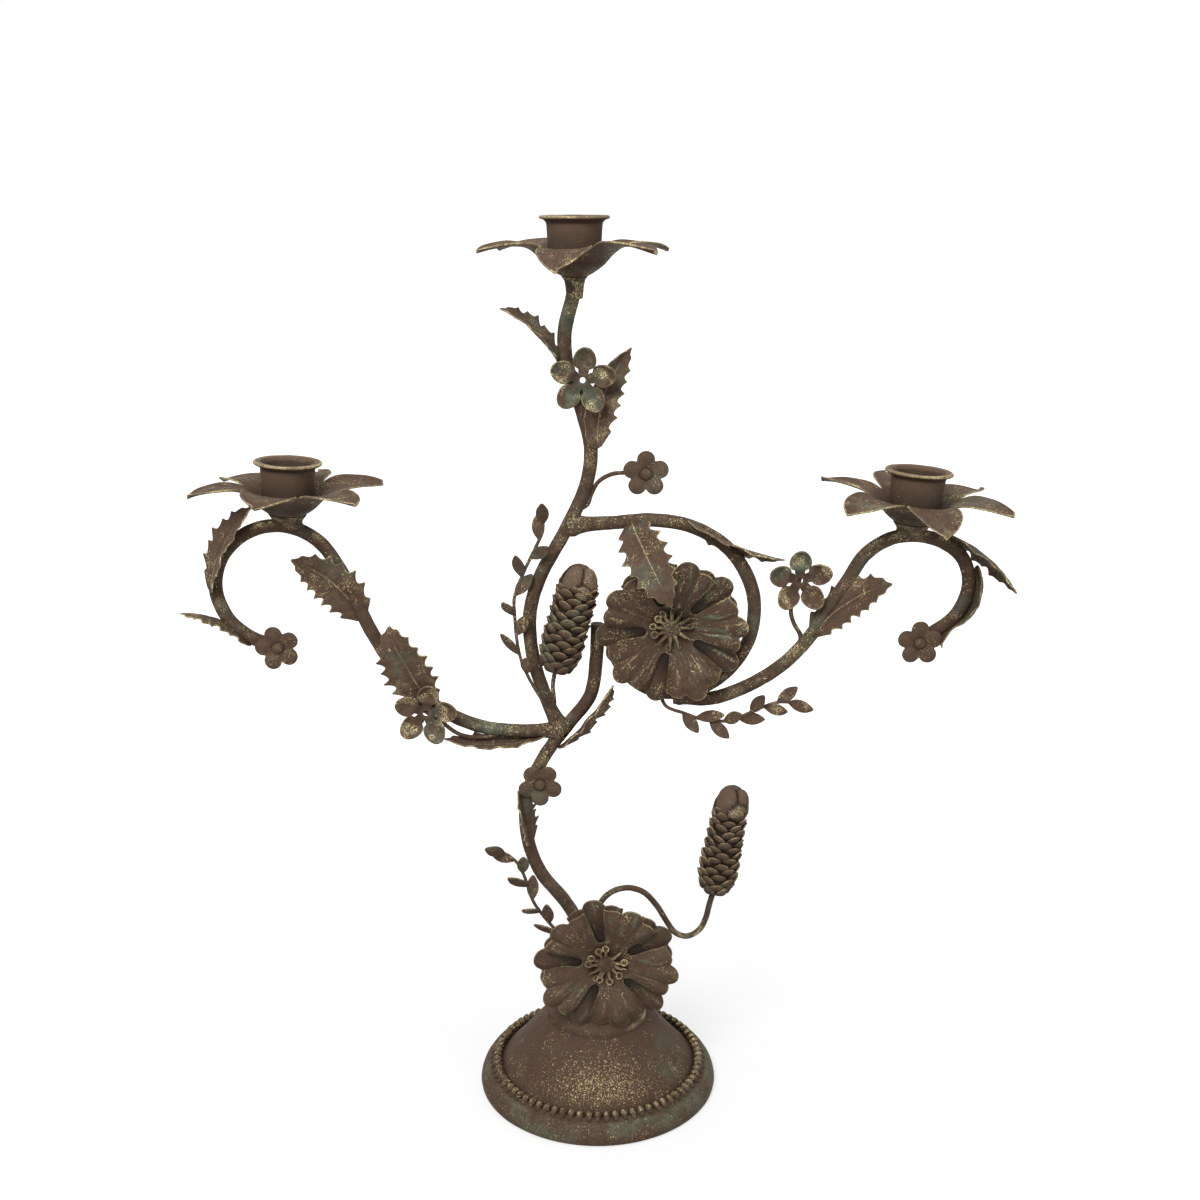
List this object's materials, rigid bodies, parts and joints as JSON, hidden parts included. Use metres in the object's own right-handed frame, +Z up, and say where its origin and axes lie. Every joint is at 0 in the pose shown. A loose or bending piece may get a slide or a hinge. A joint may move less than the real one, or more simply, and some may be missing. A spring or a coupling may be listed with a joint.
{
  "type": "candlestick",
  "caption": "Wrought-iron candelabra with a beaded round base and vine-like arms carrying leaves, flowers and cones, and a petalled dish with a candle cup on each end.",
  "frame": {"origin": "centre of the round base on the surface it stands on", "axes": "+Z up; -Y is the front that the flowers face; +X to the right seen from the front"},
  "size_m": [0.4354, 0.133, 0.4774],
  "materials": {
    "rod_iron": "matt dark brown paint with worn gold flecks and faint grey-green patches",
    "cup_iron": "matt dark brown paint, gold rubbed on the rolled rim",
    "leaf_iron": "matt brown paint with gold rubbed along edges and ridges and grey-green patches",
    "gilded_iron": "matt brown paint heavily rubbed with old gold"
  },
  "bodies": {
    "root": {"base_dome": "rod_iron", "bead_ring": "gilded_iron", "stem_nut": "rod_iron", "base_stem": "rod_iron", "centre_stem": "rod_iron", "left_arm": "rod_iron", "scroll_ring": "rod_iron", "right_arm": "rod_iron", "upper_flower_wire": "rod_iron", "right_flower_wire": "rod_iron", "lower_flower_wire": "rod_iron", "upper_cone_wire": "rod_iron", "lower_cone_wire": "rod_iron", "top_petal_dish": "leaf_iron", "top_cup": "cup_iron", "top_cup_rivet": "cup_iron", "left_petal_dish": "leaf_iron", "left_cup": "cup_iron", "left_cup_rivet": "cup_iron", "right_petal_dish": "leaf_iron", "right_cup": "cup_iron", "right_cup_rivet": "cup_iron", "stem_collar": "rod_iron", "upper_flower_back_petals": "leaf_iron", "upper_flower_front_petals": "leaf_iron", "upper_flower_stamens": "gilded_iron", "lower_flower_back_petals": "leaf_iron", "lower_flower_front_petals": "leaf_iron", "lower_flower_stamens": "gilded_iron", "lower_flower_post": "rod_iron", "stem_flower": "leaf_iron", "stem_flower_rivet": "gilded_iron", "left_end_flower": "leaf_iron", "left_end_flower_rivet": "gilded_iron", "right_end_flower": "leaf_iron", "right_end_flower_rivet": "gilded_iron", "upper_wire_flower": "leaf_iron", "upper_wire_flower_rivet": "gilded_iron", "top_cupped_flower": "leaf_iron", "right_cupped_flower": "leaf_iron", "lower_cupped_flower": "leaf_iron", "top_left_leaf": "leaf_iron", "top_right_leaf": "leaf_iron", "left_hook_leaf": "leaf_iron", "left_arm_leaf": "leaf_iron", "left_low_leaf": "leaf_iron", "left_tail_leaf": "leaf_iron", "ring_top_leaf": "leaf_iron", "ring_front_leaf": "leaf_iron", "right_arm_leaf": "leaf_iron", "right_top_leaf": "leaf_iron", "right_tail_leaf": "leaf_iron", "junction_left_leaf": "leaf_iron", "junction_right_leaf": "leaf_iron", "stem_wrap_leaf": "leaf_iron", "upper_sprig": "leaf_iron", "lower_sprig": "leaf_iron", "right_sprig": "leaf_iron", "upper_cone": "gilded_iron", "lower_cone": "gilded_iron"}
  },
  "joints": []
}
